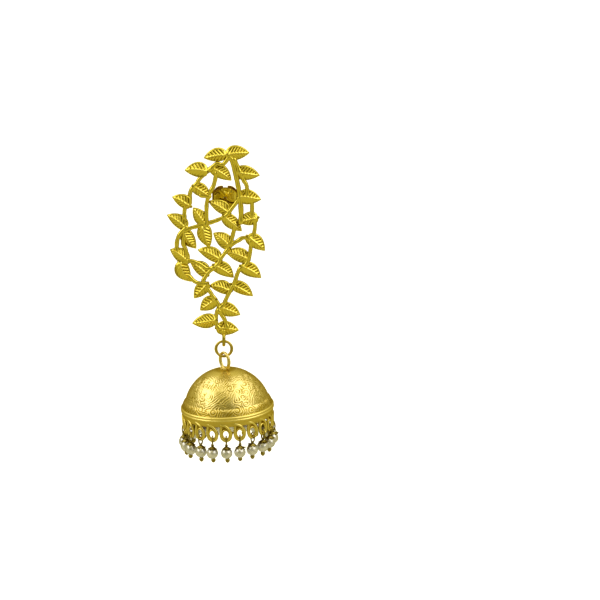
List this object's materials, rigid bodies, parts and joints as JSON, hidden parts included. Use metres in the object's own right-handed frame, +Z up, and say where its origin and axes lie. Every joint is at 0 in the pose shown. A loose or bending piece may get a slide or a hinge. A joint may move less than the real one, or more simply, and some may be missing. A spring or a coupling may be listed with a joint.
{
  "type": "jhumka drop earring",
  "caption": "Jhumka drop earring: pierced leaf and vine panel on an ear post with a clutch, jump ring, hollow bell with a pierced hoop skirt and a fringe of pearl drops",
  "frame": {"origin": "where the ear post leaves the back of the leaf panel", "axes": "+Z up along the hanging earring, +Y back along the ear post, -Y the front, +X to the right seen from the front"},
  "size_m": [0.0293, 0.0266, 0.085],
  "materials": {
    "panel_gold": "gilt, polished ridges over satin",
    "bell_gold": "gilt, polished and engraved",
    "wire_gold": "gilt, dull",
    "pearl_grey": "imitation pearl lustre"
  },
  "bodies": {
    "panel": {"leaf_panel": "panel_gold"},
    "clutch": {"ear_clutch": "wire_gold"},
    "ring": {"jump_ring": "bell_gold"},
    "bell": {"bell": "bell_gold", "pearl_01": "pearl_grey", "pearl_02": "pearl_grey", "pearl_03": "pearl_grey", "pearl_04": "pearl_grey", "pearl_05": "pearl_grey", "pearl_06": "pearl_grey", "pearl_07": "pearl_grey", "pearl_08": "pearl_grey", "pearl_09": "pearl_grey", "pearl_10": "pearl_grey", "pearl_11": "pearl_grey", "pearl_12": "pearl_grey", "pearl_13": "pearl_grey", "pearl_14": "pearl_grey", "pearl_15": "pearl_grey", "pearl_16": "pearl_grey", "pearl_17": "pearl_grey", "pearl_18": "pearl_grey", "pearl_19": "pearl_grey", "pearl_20": "pearl_grey", "head_pin_01": "wire_gold", "head_pin_02": "wire_gold", "head_pin_03": "wire_gold", "head_pin_04": "wire_gold", "head_pin_05": "wire_gold", "head_pin_06": "wire_gold", "head_pin_07": "wire_gold", "head_pin_08": "wire_gold", "head_pin_09": "wire_gold", "head_pin_10": "wire_gold", "head_pin_11": "wire_gold", "head_pin_12": "wire_gold", "head_pin_13": "wire_gold", "head_pin_14": "wire_gold", "head_pin_15": "wire_gold", "head_pin_16": "wire_gold", "head_pin_17": "wire_gold", "head_pin_18": "wire_gold", "head_pin_19": "wire_gold", "head_pin_20": "wire_gold"}
  },
  "joints": [
    {"name": "clutch_slide", "type": "slide", "parent": "panel", "child": "clutch", "axis": [0, 1, 0], "range_m": [-0.0055, 0.0042]},
    {"name": "ring_swing", "type": "hinge", "parent": "panel", "child": "ring", "pos_m": [-0.00041, -0.00055, -0.03762], "axis": [1, 0, 0], "range_deg": [-75, 75]},
    {"name": "bell_swing", "type": "hinge", "parent": "ring", "child": "bell", "pos_m": [-0.00041, -0.00055, -0.03972], "axis": [0, 1, 0], "range_deg": [-35, 35]}
  ]
}
